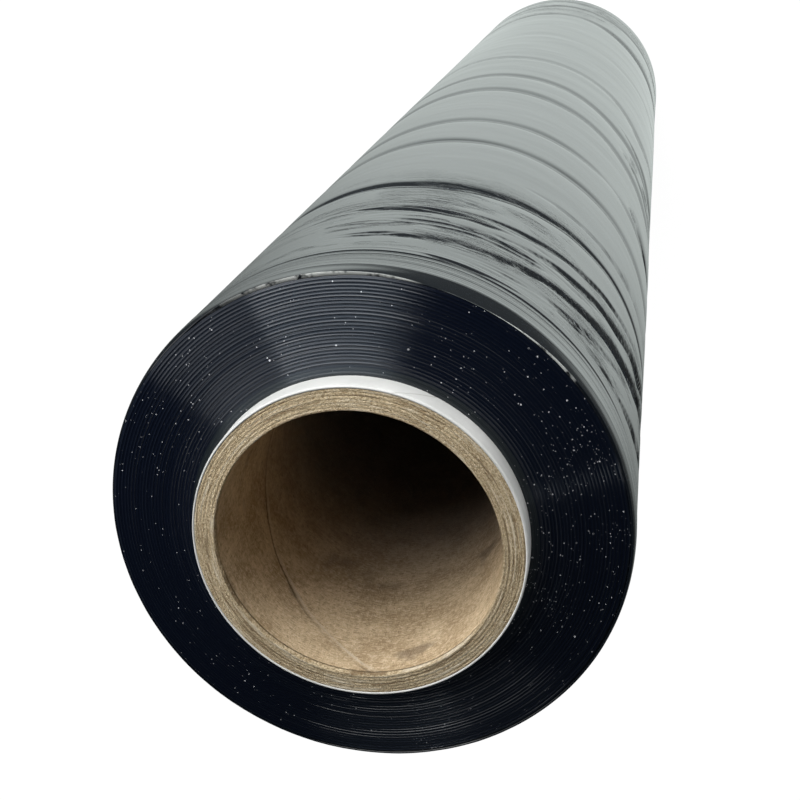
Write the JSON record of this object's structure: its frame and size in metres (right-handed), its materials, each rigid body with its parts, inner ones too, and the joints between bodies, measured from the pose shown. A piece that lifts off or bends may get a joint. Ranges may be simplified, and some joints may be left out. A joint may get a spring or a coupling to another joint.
{
  "type": "stretch wrap roll",
  "caption": "Roll of black stretch film wound on a paper core that stands out at both ends, for wrapping goods by hand.",
  "frame": {"origin": "centre of the core's lower rim, on which the roll stands", "axes": "+Z along the core's axis, up from the rim that the roll stands on; the section is round, so +X and +Y are free"},
  "size_m": [0.0958, 0.0958, 0.511],
  "materials": {
    "film": "gloss",
    "kraft_core": "matte",
    "white_ply": "matte"
  },
  "bodies": {
    "root": {"film_roll": "film", "core_tube": "kraft_core", "core_liner": "white_ply"}
  },
  "joints": []
}
